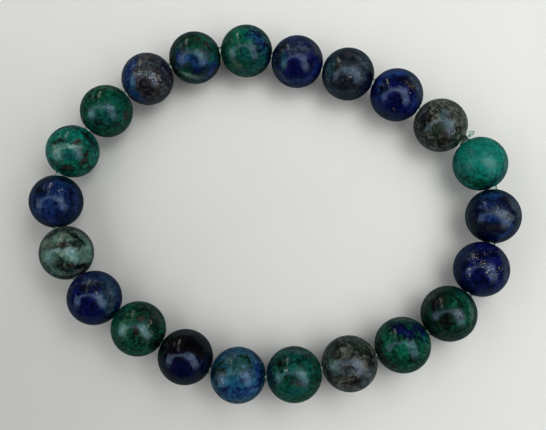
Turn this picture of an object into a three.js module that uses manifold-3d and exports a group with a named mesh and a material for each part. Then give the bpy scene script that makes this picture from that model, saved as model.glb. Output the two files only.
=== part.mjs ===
// A stretch bracelet of round polished azurite and malachite beads, lying in a loose oval on a table.
// Millimetres, +Z up. The origin is on the table, under the middle of the bracelet.
// Each bead is one drilled ball of stone. One clear elastic cord runs through them all and is knotted once.
import * as THREE from "three";
import { mergeVertices } from "three/addons/utils/BufferGeometryUtils.js";
import Module from "manifold-3d";

// Beads
const BEAD_DIAMETER = 8;
const HOLE_DIAMETER = 1.2;
const HOLE_MOUTH = { width: 1.9, depth: 0.35 }; // the small bevel at each end of a hole
const KNOT_MOUTH = { width: 2.3, depth: 1.2 }; // the reamed bevel in the two beads that hold the knot
const BEAD_GAP = 0.05; // the beads all but touch
const KNOT_GAP = 0.2; // the knot keeps its two beads a little further apart
const BEAD_SIDES = 16; // flats round a bead, one of them flat on the table
const BANDS_TO_BELT = 4; // rings of faces from a mouth to the belt of flats round the middle
const BELT_HALF_ANGLE = THREE.MathUtils.degToRad(8.6);

// Cord
const CORD_DIAMETER = 0.8;
const CORD_SIDES = 6;
const RINGS_PER_BEAD = 3;
const KNOT_SIZE = { along: 2.1, across: 1.9 };
const KNOT_FACES = { around: 10, rings: 7 };
// Past the knot the tail is squeezed flat between the two beads, then it is round again to its cut end.
const PINCHED_TAIL = { thickness: 0.32, width: 1.1, from: 0.5, to: 1.8 };
// The middle of the round end, from the middle of the knot: along the strand, out of the loop and up.
const TAIL_END = [
  [0, 1.65, 0],
  [0, 2, 0.05],
  [-0.15, 2.45, 0.15],
];
const TAIL_FACES = 4; // faces in each arc of the tail's outline
const TAIL_STEPS = 4; // rings along its round end

// The stones' finishes: colour, roughness
const STONES = {
  azurite_navy: { color: 0x12163f, roughness: 0.22 },
  azurite_mottled: { color: 0x223c66, roughness: 0.24 },
  azurite_in_matrix: { color: 0x2b2f42, roughness: 0.3 },
  malachite_green: { color: 0x0f4a3a, roughness: 0.24 },
  malachite_bright: { color: 0x0a7358, roughness: 0.24 },
  malachite_pale: { color: 0x54705f, roughness: 0.3 },
  malachite_and_azurite: { color: 0x1c4550, roughness: 0.25 },
  grey_matrix: { color: 0x3c4241, roughness: 0.32 },
};
const CLEAR_ELASTIC = { color: 0xc9d8cf, roughness: 0.15 };

// Where each bead lies on the table, to the nearest half millimetre, clockwise from the top, and its stone.
// The knot is between the fifth bead and the sixth.
const STRAND = [
  { at: [-4, 24.5], stone: "malachite_and_azurite" },
  { at: [4, 22.5], stone: "azurite_navy" },
  { at: [11.5, 20.5], stone: "azurite_in_matrix" },
  { at: [19, 17], stone: "azurite_navy" },
  { at: [25.5, 12], stone: "grey_matrix" },
  { at: [31, 6], stone: "malachite_bright" },
  { at: [32.5, -1.5], stone: "azurite_mottled" },
  { at: [30.5, -9.5], stone: "azurite_navy" },
  { at: [25.5, -16], stone: "malachite_green" },
  { at: [18.5, -20.5], stone: "malachite_green" },
  { at: [11, -23], stone: "grey_matrix" },
  { at: [3, -24.5], stone: "malachite_green" },
  { at: [-5, -24.5], stone: "azurite_mottled" },
  { at: [-12.5, -22], stone: "azurite_navy" },
  { at: [-19.5, -18], stone: "malachite_green" },
  { at: [-26, -13.5], stone: "azurite_navy" },
  { at: [-30.5, -7], stone: "malachite_pale" },
  { at: [-32.5, 1], stone: "azurite_navy" },
  { at: [-30.5, 8.5], stone: "malachite_green" },
  { at: [-25.5, 15], stone: "malachite_green" },
  { at: [-19.5, 20], stone: "azurite_in_matrix" },
  { at: [-12, 23.5], stone: "malachite_and_azurite" },
];
const BEADS = STRAND.length;
const KNOT_AFTER = 4; // the index of the bead before the knot
const SETTLING_PASSES = 600;
const TURNING_PASSES = 4;
const MERGE_TOLERANCE = 1e-4;

const RADIUS = BEAD_DIAMETER / 2;
const UP = new THREE.Vector3(0, 0, 1);
const wasm = await Module();
wasm.setup();

const next = (i) => (i + 1) % BEADS;
const before = (i) => (i + BEADS - 1) % BEADS;
const gapAfter = (i) => (i === KNOT_AFTER ? KNOT_GAP : BEAD_GAP);

// The bead centres: the rough places, eased apart or together until each pair of beads is its gap apart.
function settledCentres() {
  const centres = STRAND.map(({ at }) => new THREE.Vector3(at[0], at[1], RADIUS));
  for (let pass = 0; pass < SETTLING_PASSES; pass++) {
    centres.forEach((a, i) => {
      const b = centres[next(i)];
      const towards = b.clone().sub(a);
      const slack = (towards.length() - BEAD_DIAMETER - gapAfter(i)) / 2;
      towards.normalize();
      a.addScaledVector(towards, slack);
      b.addScaledVector(towards, -slack);
    });
  }
  return centres;
}

// Halfway between where the hole of each bead comes out and where the hole of the next one goes in.
function meetingPoints(centres, holes) {
  return centres.map((centre, i) => {
    const half = centre.distanceTo(centres[next(i)]) / 2;
    const ahead = centre.clone().addScaledVector(holes[i], half);
    const behind = centres[next(i)].clone().addScaledVector(holes[next(i)], -half);
    return ahead.lerp(behind, 0.5);
  });
}

// The direction of each bead's hole: first along the strand, then turned, as the tight cord turns the beads,
// until neighbouring holes meet.
function holeDirections(centres) {
  let holes = centres.map((_, i) => centres[next(i)].clone().sub(centres[before(i)]).normalize());
  for (let pass = 0; pass < TURNING_PASSES; pass++) {
    const meetings = meetingPoints(centres, holes);
    holes = centres.map((_, i) => meetings[i].clone().sub(meetings[before(i)]).normalize());
  }
  return holes;
}

// The polar angle, from the hole's axis, of the rim where a mouth breaks the ball's surface.
const rimAngle = (mouth) => Math.asin(mouth.width / BEAD_DIAMETER);

// Half of a bead's outer outline: [radius, height] pairs from the rim of a mouth to the edge of the belt.
function rimToBelt(mouth) {
  const first = rimAngle(mouth);
  const last = Math.PI / 2 - BELT_HALF_ANGLE;
  const outline = [];
  for (let k = 0; k <= BANDS_TO_BELT; k++) {
    const angle = first + ((last - first) * k) / BANDS_TO_BELT;
    const radius = k === BANDS_TO_BELT ? RADIUS : RADIUS * Math.sin(angle);
    outline.push([radius, RADIUS * Math.cos(angle)]);
  }
  return outline;
}

// A drilled ball, turned about its hole, which runs along +Y from one mouth to the other.
// The radii are widened so that the flats, not the corners, touch the round form.
function beadGeometry(startMouth, endMouth) {
  const widen = 1 / Math.cos(Math.PI / BEAD_SIDES);
  const wall = (mouth) => [HOLE_DIAMETER / 2, RADIUS * Math.cos(rimAngle(mouth)) - mouth.depth];
  const start = [wall(startMouth), ...rimToBelt(startMouth)].map(([radius, height]) => [radius, -height]);
  const end = [wall(endMouth), ...rimToBelt(endMouth)].reverse();
  const outline = [...start, ...end].map(([radius, height]) => new THREE.Vector2(radius * widen, height));
  outline.push(outline[0].clone());
  return new THREE.LatheGeometry(outline, BEAD_SIDES, Math.PI / BEAD_SIDES);
}

// A three.js geometry as a solid, and back, for joining.
function toSolid(geometry) {
  geometry.deleteAttribute("normal");
  geometry.deleteAttribute("uv");
  const merged = mergeVertices(geometry, MERGE_TOLERANCE);
  const vertProperties = new Float32Array(merged.attributes.position.array);
  const triVerts = new Uint32Array(merged.index.array);
  return new wasm.Manifold(new wasm.Mesh({ numProp: 3, vertProperties, triVerts }));
}

function toGeometry(solid) {
  const mesh = solid.getMesh();
  const geometry = new THREE.BufferGeometry();
  geometry.setAttribute("position", new THREE.BufferAttribute(new Float32Array(mesh.vertProperties), 3));
  geometry.setIndex(new THREE.BufferAttribute(new Uint32Array(mesh.triVerts), 1));
  geometry.computeVertexNormals();
  return geometry;
}

// The cord's closed loop, straight through each bead and bending where two holes meet.
function cordLoop(centres, meetings) {
  const route = centres.flatMap((centre, i) => [centre, meetings[i]]);
  const curve = new THREE.CatmullRomCurve3(route, true, "centripetal");
  return new THREE.TubeGeometry(curve, BEADS * RINGS_PER_BEAD, CORD_DIAMETER / 2, CORD_SIDES, true);
}

// The knot's lump, the tail where the two beads pinch it flat, and its round cut end outside them.
// frame carries x along the strand, y out of the loop and z up, from the middle of the knot.
function knotPieces(frame) {
  const lump = new THREE.SphereGeometry(1, KNOT_FACES.around, KNOT_FACES.rings);
  lump.scale(KNOT_SIZE.along / 2, KNOT_SIZE.across / 2, KNOT_SIZE.across / 2);

  const flat = new THREE.Shape();
  flat.absellipse(0, 0, PINCHED_TAIL.thickness / 2, PINCHED_TAIL.width / 2, 0, 2 * Math.PI);
  const depth = PINCHED_TAIL.to - PINCHED_TAIL.from;
  const pinch = new THREE.ExtrudeGeometry(flat, { depth, bevelEnabled: false, curveSegments: TAIL_FACES });
  pinch.translate(0, 0, PINCHED_TAIL.from).rotateX(-Math.PI / 2);

  const round = new THREE.Shape();
  round.absarc(0, 0, CORD_DIAMETER / 2, 0, 2 * Math.PI);
  const path = new THREE.CatmullRomCurve3(TAIL_END.map(([x, y, z]) => new THREE.Vector3(x, y, z)));
  const along = { extrudePath: path, steps: TAIL_STEPS, curveSegments: TAIL_FACES };
  const end = new THREE.ExtrudeGeometry(round, along);
  return [lump, pinch, end].map((piece) => toSolid(piece.applyMatrix4(frame)));
}

// The loop, the knot and the tail in one piece. The strand runs clockwise, so the outside is on its left.
function cordGeometry(centres, meetings) {
  const along = centres[next(KNOT_AFTER)].clone().sub(centres[KNOT_AFTER]).normalize();
  const out = UP.clone().cross(along);
  const frame = new THREE.Matrix4().makeBasis(along, out, UP).setPosition(meetings[KNOT_AFTER]);
  const loop = toSolid(cordLoop(centres, meetings));
  return toGeometry(knotPieces(frame).reduce((whole, piece) => whole.add(piece), loop));
}

function finish({ color, roughness }) {
  return new THREE.MeshStandardMaterial({ color, roughness, metalness: 0 });
}

const centres = settledCentres();
const holes = holeDirections(centres);
const meetings = meetingPoints(centres, holes);

const bracelet = new THREE.Group();
STRAND.forEach(({ stone }, i) => {
  const startMouth = i === next(KNOT_AFTER) ? KNOT_MOUTH : HOLE_MOUTH;
  const endMouth = i === KNOT_AFTER ? KNOT_MOUTH : HOLE_MOUTH;
  const bead = new THREE.Mesh(beadGeometry(startMouth, endMouth), finish(STONES[stone]));
  bead.name = `bead_${String(i + 1).padStart(2, "0")}`;
  bead.position.copy(centres[i]);
  bead.rotation.z = Math.atan2(holes[i].y, holes[i].x) - Math.PI / 2;
  bracelet.add(bead);
});

const cord = new THREE.Mesh(cordGeometry(centres, meetings), finish(CLEAR_ELASTIC));
cord.name = "elastic_cord";
bracelet.add(cord);

// The middle of the bracelet goes over the origin.
const box = new THREE.Box3().setFromObject(bracelet);
const middle = box.getCenter(new THREE.Vector3());
bracelet.position.set(-middle.x, -middle.y, -box.min.z);

export default bracelet;
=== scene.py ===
"""Stretch bracelet of round polished azurite and malachite beads on one knotted clear elastic cord.

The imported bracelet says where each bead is. This script gives the beads and the cord their fine
shape, paints each stone with its own pattern of minerals, and sets the stage. Lengths are in
metres.
"""

import math
import bpy
import numpy as np
from bpy.props import FloatProperty, FloatVectorProperty, PointerProperty
from mathutils import Matrix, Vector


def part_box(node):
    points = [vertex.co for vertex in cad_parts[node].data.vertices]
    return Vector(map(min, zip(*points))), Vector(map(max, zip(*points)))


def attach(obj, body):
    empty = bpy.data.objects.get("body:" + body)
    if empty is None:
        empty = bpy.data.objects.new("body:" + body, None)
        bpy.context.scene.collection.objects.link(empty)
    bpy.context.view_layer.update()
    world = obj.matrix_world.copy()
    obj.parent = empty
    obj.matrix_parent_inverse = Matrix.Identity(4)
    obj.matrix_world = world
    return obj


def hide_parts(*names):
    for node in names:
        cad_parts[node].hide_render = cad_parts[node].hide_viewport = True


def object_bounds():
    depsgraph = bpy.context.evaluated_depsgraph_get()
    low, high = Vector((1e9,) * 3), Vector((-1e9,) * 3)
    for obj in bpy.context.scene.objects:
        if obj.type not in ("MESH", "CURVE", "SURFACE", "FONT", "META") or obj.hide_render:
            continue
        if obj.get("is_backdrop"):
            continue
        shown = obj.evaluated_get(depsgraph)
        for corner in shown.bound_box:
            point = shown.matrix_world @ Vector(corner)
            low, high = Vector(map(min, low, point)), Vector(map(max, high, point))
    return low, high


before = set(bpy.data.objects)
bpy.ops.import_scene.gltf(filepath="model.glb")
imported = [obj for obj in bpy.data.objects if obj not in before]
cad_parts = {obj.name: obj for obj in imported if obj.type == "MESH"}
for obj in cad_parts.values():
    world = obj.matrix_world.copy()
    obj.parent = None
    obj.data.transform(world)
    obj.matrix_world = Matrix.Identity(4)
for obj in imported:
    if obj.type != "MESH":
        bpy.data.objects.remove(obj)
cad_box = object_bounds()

bl_info = {
    "name": "Azurite and Malachite Bead Bracelet",
    "version": (1, 0, 0),
    "blender": (4, 5, 0),
    "location": "View3D > Sidebar > Bracelet",
    "description": "Builds a stretch bracelet of polished stone beads, with its stage",
    "category": "Object",
}

MM = 0.001
UP = np.array((0.0, 0.0, 1.0))

# The beads along the strand, which of them comes just before the knot, counted from nought, and
# how many times their holes are turned to meet
BEADS = [f"bead_{number:02d}" for number in range(1, 23)]
KNOT_AFTER = 4
TURNING_PASSES = 4

# Fineness of the meshes
BEAD_AROUND = 144
BEAD_ALONG = 84
EDGE_STEPS = 6
WALL_STEPS = 8
CORD_AROUND = 28
CORD_RINGS = 380
KNOT_STEPS = 110
ROUTE_STEPS = 40
TAIL_AROUND = 28
TAIL_STEPS = 9

# A bead's surface: how many waves its slow unevenness has and how quick they are, and the least
# width and depth of a hollow as shares of the most
WAVES = 4
WAVE_SPREAD = 2.2
LEAST_HOLLOW = (0.35, 0.3)

# How far the knot's fine rings reach from its middle, in half lengths of the knot
KNOT_OVERLAP = 1.15

# How patches are drawn: scale and reach of the shifts of their edges, how much the grain breaks
# them up, how far they reach into the stone, and how soft their borders are
WANDERING = ((1.5, 0.3), (5.0, 0.24), (13.0, 0.13))
RAGGEDNESS = 0.9
PATCH_DEPTH = 0.8
PATCH_SOFTNESS = 0.5

# The noise inside a mineral: scale, detail, roughness and any distortion of each, the range of
# each that is spread out to the full one, the veins' width, the shares of grain, speckle and veins
# in the shade, and the shade's own range and contrast
CLOUDS = (2.6, 5.0, 0.62, 0.35)
GRAIN = (7.5, 3.0, 0.55, 0.2)
SPECKLE = (18.0, 2.0, 0.6)
THREADS = (5.2, 4.0, 0.6, 1.4)
CLOUD_RANGE = (0.34, 0.66)
GRAIN_RANGE = (0.36, 0.64)
THREAD_WIDTH = 0.07
GRAIN_SHARE = 0.42
SPECKLE_SHARE = 0.12
VEIN_SHARE = 0.08
SHADE_RANGE = (0.2, 0.85)
SHADE_POWER = 1.3

# Flecks and pinholes: sizes and edges as shares of their cells, how many cells of pinholes fit
# across a bead's radius, and the share of them that has one
FLECK_SIZES = (0.25, 0.52)
FLECK_EDGE = (1.0, 0.55)
PINHOLE_SCALE = 7.0
PINHOLE_SHARE = 0.16
PINHOLE_EDGE = (0.16, 0.04)

# The polish: height, waves, grain and strength of its relief, how much its roughness varies, how
# strongly the stone bends light, and the least and the most wax and the wax's own roughness
RELIEF = 0.035 * MM
RELIEF_WAVES = (4.0, 2.0, 0.5)
RELIEF_GRAIN = 0.3
RELIEF_STRENGTH = 0.6
POLISH_SPREAD = 0.2
STONE_IOR = 1.55
WAX = (0.2, 0.9)
WAX_ROUGHNESS = 0.15

# Patches on a bead's hidden side: least and most turn, shift, and how far from its middle
HIDDEN_TURN = (0.6, 5.6)
HIDDEN_SHIFT = 0.12
HIDDEN_REACH = 0.95

# Where the draws of chance start for the first stone, and how far apart stones lie in the noise
FIRST_SEED = 900
SEED_REACH = 40

# The clear cord: how strongly it bends light, its colour at the surface and in its depth, and
# its cloudiness, roughness and relief
ELASTIC_IOR = 1.5
ELASTIC_TINT = (0.93, 0.97, 0.95, 1)
ELASTIC_DEPTH = {"Color": (0.5, 0.72, 0.62, 1), "Density": 1300}
ELASTIC_CLOUD = (900.0, 3.0)
ELASTIC_ROUGHNESS = (0.04, 0.16)
ELASTIC_RELIEF = {"Strength": 0.25, "Distance": 0.03 * MM}

# The minerals: what the darkest and the lightest shade of each stand for, and how they look on a
# screen, from 0 to 255 in red, green and blue. Some of their patches on the stones below are
# painted highlights, reflections and shade, as told there.
MINERALS = {
    "indigo": ("Deep azurite", (1, 4, 34), "Deep azurite in thin places", (10, 17, 84)),
    "navy": ("Almost black azurite", (0, 1, 12), "Its clouds", (8, 20, 52)),
    "royal": ("Pure azurite", (5, 16, 62), "Its bright veins", (36, 76, 142)),
    "azure": ("Azurite turning to green", (2, 42, 78), "Its pale clouds", (36, 102, 132)),
    "teal": ("Blue and green minerals mixed", (4, 44, 48), "Their pale mix", (16, 96, 96)),
    "emerald": ("Malachite", (1, 36, 22), "Its light bands", (6, 92, 66)),
    "bright": ("Clean bright malachite", (0, 88, 76), "Its lightest bands", (1, 128, 110)),
    "mint": ("Chalky malachite", (52, 104, 88), "The palest malachite", (136, 176, 160)),
    "moss": ("Malachite stained by rock", (3, 14, 8), "The same where it is thin", (14, 46, 28)),
    "grey": ("Host rock", (28, 30, 26), "Its pale grains", (99, 103, 94)),
    "slate": ("Bluish host rock", (30, 38, 46), "Its pale grains", (88, 104, 114)),
    "brown": ("Iron-stained rock", (20, 15, 13), "Rusty grains", (62, 52, 43)),
    "black": ("Manganese-stained rock", (3, 3, 5), "The same where it is thin", (14, 12, 18)),
    "taupe": ("Brown-grey rock", (26, 24, 30), "Its pale grains", (70, 66, 68)),
    "brass": ("Specks of brassy ore", (116, 104, 66), "The brightest of them", (172, 162, 126)),
    "pale": ("Chalky white specks", (142, 146, 140), "The whitest of them", (228, 226, 214)),
}

# Those that are drawn as flecks, with how many fit across a bead's radius, and those that polish
# less well, with how much rougher they stay. The pale flecks are partly painted glints.
FLECKS = {"brass": 20.0, "pale": 17.0}
DULL = {"grey", "slate", "brown", "black", "taupe", "mint", "brass", "pale"}
DULL_ROUGHNESS = 0.08

# The stones. Each has its ground mineral, the roughness of its polish, its share of wax, and its
# patches from the lowest to the topmost, one a line: a mineral, the patch's place on the bead's
# upper face (right and up, as the camera sees it), its half length and half width, all in
# hundredths of the bead's radius, the turn of its length in degrees from the right, and its
# strength in hundredths. Brass and pale patches are drawn as flecks, and there the strength is the
# share of spots that show. Many patches are partly painted light. The light mint, pale, grey,
# slate, azure and brass ones where the windows and the lamp show on a bead (left of the middle near
# right -55, in a band near up 15, right of the middle near up 0, and thin streaks near right -30
# up 45) are painted highlights over those of the lights. Thin slate, grey and taupe strips along
# the rims are painted reflections of the floor, and some dark patches along the rims are painted
# shade.
STONES = {
    "bead_01": ("emerald", 0.2, 1, """
bright -10 60 60 30 10 35
moss -85 0 40 20 85 75
moss -15 18 26 14 10 50
moss 5 -30 40 24 40 50
teal 15 -72 60 22 5 75
royal 50 45 56 34 120 75
navy 50 62 30 16 150 80
navy 88 -10 75 24 88 95
teal 55 -50 35 22 60 80
navy 35 5 40 18 100 50
mint -52 -20 36 12 110 35
grey -35 -50 36 14 135 45
teal 0 -15 34 24 0 55
"""),
    "bead_02": ("indigo", 0.18, 1, """
navy -70 30 55 30 70 90
black -70 38 30 22 60 85
slate 0 50 60 22 0 45
taupe 75 45 45 20 128 80
teal -55 0 30 14 95 60
slate -85 -30 45 12 100 40
slate -50 -60 40 12 130 50
royal 62 -40 40 14 60 40
navy 30 62 24 10 0 60
pale 38 -36 10 8 0 25
royal 0 78 46 12 0 40
royal 0 -68 44 14 0 50
slate 0 74 44 12 0 35
"""),
    "bead_03": ("navy", 0.18, 1, """
slate 0 0 100 90 0 50
black 20 52 70 34 0 65
taupe 25 70 50 16 160 60
navy 78 5 60 24 100 70
teal -72 25 38 22 75 70
slate -80 -10 50 14 85 60
slate 20 15 40 24 150 50
black 0 -35 80 30 5 75
brown 30 -62 35 12 20 45
black 42 68 30 6 145 90
brown -36 30 36 6 105 85
grey -34 10 14 12 0 70
slate -60 -70 40 8 140 60
pale -38 50 12 5 110 30
slate 58 50 36 18 140 60
navy 58 -52 34 18 40 75
pale 13 -8 9 5 170 100
pale 13 -8 7 6 170 100
slate 40 -5 26 14 150 40
"""),
    # Its slate strips along the upper right rim are a painted reflection.
    "bead_04": ("indigo", 0.17, 1, """
royal -60 25 48 22 110 50
navy -45 38 34 16 80 80
royal 0 85 60 14 0 65
black 48 46 55 20 150 75
brown 50 40 30 10 150 50
royal 74 -15 45 16 50 65
indigo -5 -50 75 38 0 94
brass 6 22 12 9 60 60
brass 52 34 24 10 150 40
brass -5 -55 10 8 0 35
pale 40 -5 22 16 0 12
slate 88 25 40 7 110 60
slate 66 50 34 12 130 50
royal 0 76 44 12 0 55
slate 80 15 40 12 110 45
slate 56 54 30 12 135 45
slate -2 20 26 10 170 35
"""),
    # Its pale, mint and taupe patches right of the middle and its brass streak up on the left are
    # painted highlights.
    "bead_05": ("grey", 0.19, 1, """
moss 0 0 100 90 0 20
black -55 32 46 26 30 95
moss -65 -5 34 20 80 75
black -80 -35 30 14 60 60
moss -12 -20 26 22 0 92
teal 6 40 24 18 80 60
slate 20 50 30 14 60 60
black 30 55 20 8 130 70
moss 80 0 40 14 95 60
brown 30 -42 42 24 60 80
black 12 -62 40 16 20 80
black 75 -58 40 18 60 92
black 58 25 24 8 100 70
pale 49 5 34 4 94 60
pale 48 -20 14 7 100 95
brass -34 48 8 3 60 60
grey 60 30 46 30 120 50
taupe 32 -10 20 26 100 45
mint 34 4 16 22 100 35
moss -10 -62 34 12 0 50
moss 62 -58 36 14 50 60
grey 0 0 90 80 0 15
"""),
    # Its mint patch right of the middle is a painted highlight, and its dark patches low down are
    # partly painted shade.
    "bead_06": ("bright", 0.3, 0.1, """
emerald 0 -70 70 24 5 90
teal -85 -20 60 16 100 85
emerald -35 -62 45 16 150 60
navy 28 -88 52 16 12 95
teal 55 -58 40 20 40 80
slate 90 -25 50 8 75 70
pale 86 -2 6 5 0 60
slate 88 -5 60 9 90 60
mint 34 2 30 14 165 25
"""),
    "bead_07": ("navy", 0.2, 1, """
royal 0 75 60 20 0 60
royal -35 40 34 18 40 65
navy -10 55 30 8 160 70
royal -12 -8 40 18 0 85
royal 52 -28 30 14 140 75
slate 15 12 55 12 175 45
slate 50 0 26 18 120 50
navy -30 15 20 8 0 70
navy -64 5 65 16 92 95
black -10 -42 60 17 172 95
brown 5 -40 34 7 170 55
black 48 48 34 18 125 90
royal 30 -72 30 12 20 70
indigo -20 -75 44 14 170 80
slate -90 -5 60 8 90 60
pale 25 16 40 12 165 40
brass 38 12 34 16 150 50
brass 48 46 14 12 0 45
pale -52 -12 10 6 90 40
slate 88 5 60 12 90 60
slate 66 42 24 10 120 50
grey 34 0 40 16 150 45
black -55 -62 36 14 140 85
brass 40 6 30 14 150 60
navy -8 -22 24 10 0 50
slate 58 40 26 10 125 40
royal 0 15 70 50 0 20
"""),
    # Its pale streaks left of the middle and its pale and brass band right of it are painted
    # highlights.
    "bead_08": ("indigo", 0.17, 1, """
navy -10 58 55 22 0 70
navy -82 -20 60 16 90 70
slate -45 45 24 12 70 40
pale 22 -6 55 9 128 35
brass 28 -5 50 18 128 25
brass 66 2 20 14 40 40
pale -30 28 24 6 80 45
pale -42 -8 22 7 80 45
brass 0 60 30 12 0 30
slate 88 0 50 8 95 50
navy 0 -62 60 24 0 60
slate 80 6 40 10 100 40
"""),
    "bead_09": ("moss", 0.21, 1, """
emerald 45 45 60 34 130 80
emerald 20 30 30 12 20 60
black 25 55 45 6 130 80
black 5 70 24 8 20 60
emerald 62 -10 45 18 90 85
emerald 10 -50 55 20 30 70
teal 50 62 30 12 140 50
grey -55 66 42 16 35 60
black -45 30 26 20 50 100
black -8 -32 30 22 100 80
emerald -66 0 30 10 90 60
pale 40 -8 16 14 0 65
pale -30 32 12 10 0 40
black -62 -62 40 20 135 95
black 0 -62 50 16 10 55
emerald 60 -52 34 18 50 60
grey 36 -4 18 14 120 45
mint 76 4 40 10 100 25
"""),
    "bead_10": ("emerald", 0.2, 1, """
moss 45 -75 50 18 30 80
grey 5 90 50 9 0 60
navy 5 50 50 28 145 80
indigo 2 55 46 20 142 95
indigo 55 60 34 17 122 96
black -82 -20 60 22 105 90
black -62 -58 50 22 140 85
moss 0 -62 70 22 0 45
indigo 62 52 34 22 122 90
"""),
    # Its brass streak up on the left and its mint patches left of the middle are painted
    # highlights.
    "bead_11": ("grey", 0.21, 1, """
moss 5 72 65 22 0 75
black -52 34 36 22 50 92
moss 45 42 45 20 165 80
black 38 30 28 9 20 85
black 75 14 40 14 110 90
slate -66 -5 42 14 120 80
grey 20 5 44 16 150 80
slate 68 -38 30 14 50 90
black -68 -52 40 14 128 90
black -25 -42 20 8 20 70
black 10 -46 36 9 170 85
black 30 -68 55 12 170 60
brown 20 -75 60 16 170 75
brass -28 48 14 4 110 45
pale 10 0 14 10 0 40
mint -58 -10 24 12 115 35
slate -12 -16 34 24 0 70
slate 62 -55 30 14 50 70
moss -60 50 36 18 45 60
mint -52 -8 26 14 110 30
grey 0 20 80 50 0 20
"""),
    "bead_12": ("emerald", 0.21, 1, """
teal 10 20 90 70 0 50
emerald 0 -20 60 40 0 50
slate 12 80 45 10 0 60
moss 40 55 30 14 30 50
black -46 38 14 12 80 95
moss -42 30 24 14 80 70
pale -28 14 7 5 0 90
pale 40 6 8 6 0 50
mint -55 -10 20 9 100 25
navy -86 0 60 24 95 85
moss -10 -15 26 20 0 60
teal 0 -62 46 20 0 70
moss 80 0 50 16 95 60
black 13 -34 19 11 155 75
taupe 12 -35 24 12 155 60
mint 30 2 22 16 120 20
"""),
    "bead_13": ("azure", 0.2, 1, """
royal 75 15 60 20 95 85
slate -10 58 60 26 10 75
teal -20 40 60 28 20 80
emerald 25 50 30 18 120 85
moss 36 55 14 12 0 80
emerald -72 25 30 16 100 90
moss -52 14 30 8 112 90
emerald 0 5 30 12 20 60
teal -25 0 30 12 10 60
slate 35 10 30 20 120 40
slate -62 -15 34 12 115 70
slate 10 -90 55 7 5 60
navy -40 -60 30 9 130 50
brass -57 0 16 12 60 75
pale -50 -14 14 9 60 60
royal 5 -62 60 20 10 75
navy 88 0 60 14 95 90
moss -82 10 40 14 95 70
slate -78 -50 34 12 130 50
mint -5 22 30 14 20 25
"""),
    # Its taupe strips along the top and lower left rims are painted reflections, and its pale
    # specks painted glints.
    "bead_14": ("black", 0.13, 1, """
indigo 0 -50 70 44 0 40
indigo 0 -45 55 40 0 55
taupe 5 86 60 10 0 60
taupe -70 -62 40 8 130 50
pale 38 22 16 5 150 10
"""),
    # Its mint patches left and right of the middle are painted highlights.
    "bead_15": ("emerald", 0.21, 1, """
moss 30 10 80 60 30 65
moss 70 -50 50 24 130 95
moss 10 65 45 14 0 80
grey 60 60 40 12 130 60
teal 15 28 34 14 20 60
mint 25 -15 30 14 120 40
mint -52 0 26 16 90 35
black 0 -45 30 9 20 50
black -8 -12 20 12 100 90
pale 48 -16 12 7 120 90
pale 10 28 8 5 0 60
brass 18 58 5 5 0 60
black 66 -58 40 20 140 80
brown -6 -9 15 11 100 100
brown 12 36 17 11 30 95
brown 46 30 26 12 60 90
mint -54 -2 24 16 95 30
mint 26 -8 20 16 120 25
pale 38 16 16 8 50 90
"""),
    "bead_16": ("indigo", 0.16, 1, """
navy 15 52 65 26 10 85
slate 0 62 50 14 0 55
azure 58 5 66 28 100 70
slate 55 5 60 22 100 80
black 38 26 20 9 100 85
black -20 32 28 8 0 80
navy 62 -62 30 10 50 70
pale 20 2 26 9 115 45
pale 10 38 5 5 0 95
taupe -80 -45 50 6 120 40
slate 30 -12 30 16 110 45
azure 50 52 40 18 130 40
azure 50 -6 46 22 100 45
slate 54 -10 46 14 105 60
royal 0 70 44 10 0 40
"""),
    "bead_17": ("grey", 0.23, 1, """
mint 0 10 100 80 0 62
moss 42 35 40 22 10 88
moss -30 80 50 10 15 90
moss 0 62 40 8 10 60
black 32 60 34 8 135 95
black 45 48 16 10 100 70
black -12 34 24 14 0 90
brown -12 30 28 16 0 80
brown -58 20 36 10 170 85
mint -42 48 22 9 20 60
moss -25 -28 42 22 10 85
moss -5 -60 40 14 10 70
mint -62 -18 28 20 0 60
black 40 -50 48 12 168 98
black 66 -62 28 14 110 92
brown 4 -46 30 8 170 85
emerald 15 -66 30 8 0 70
mint 22 -12 32 14 160 92
teal -45 -72 40 12 150 85
navy 10 -90 55 12 5 90
emerald -90 5 36 8 95 80
pale 6 42 6 5 0 95
pale -22 48 22 4 70 70
mint -58 -12 26 22 100 60
mint 80 0 40 14 95 60
black 4 -62 40 10 0 55
mint 58 52 30 10 150 45
mint -52 -52 34 12 140 40
moss 0 76 40 10 0 50
mint 74 0 30 12 95 45
grey -56 -6 22 14 100 35
"""),
    "bead_18": ("navy", 0.16, 1, """
royal 0 0 90 80 0 50
navy 0 80 80 22 0 85
royal 10 35 60 20 0 35
black -62 36 18 13 0 95
navy 55 15 34 10 90 60
royal -20 -30 46 32 30 60
brass -30 45 12 8 80 60
pale 12 44 12 5 0 60
navy -8 -18 30 26 20 45
indigo 0 -62 40 22 0 60
royal 0 70 50 14 0 50
royal -55 -50 40 20 140 40
royal 0 -78 60 14 0 45
royal -82 -10 50 12 95 45
royal 80 -10 50 12 85 40
"""),
    # Its thin mint bands just above the middle and its mint patches left of it are painted
    # highlights.
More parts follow.
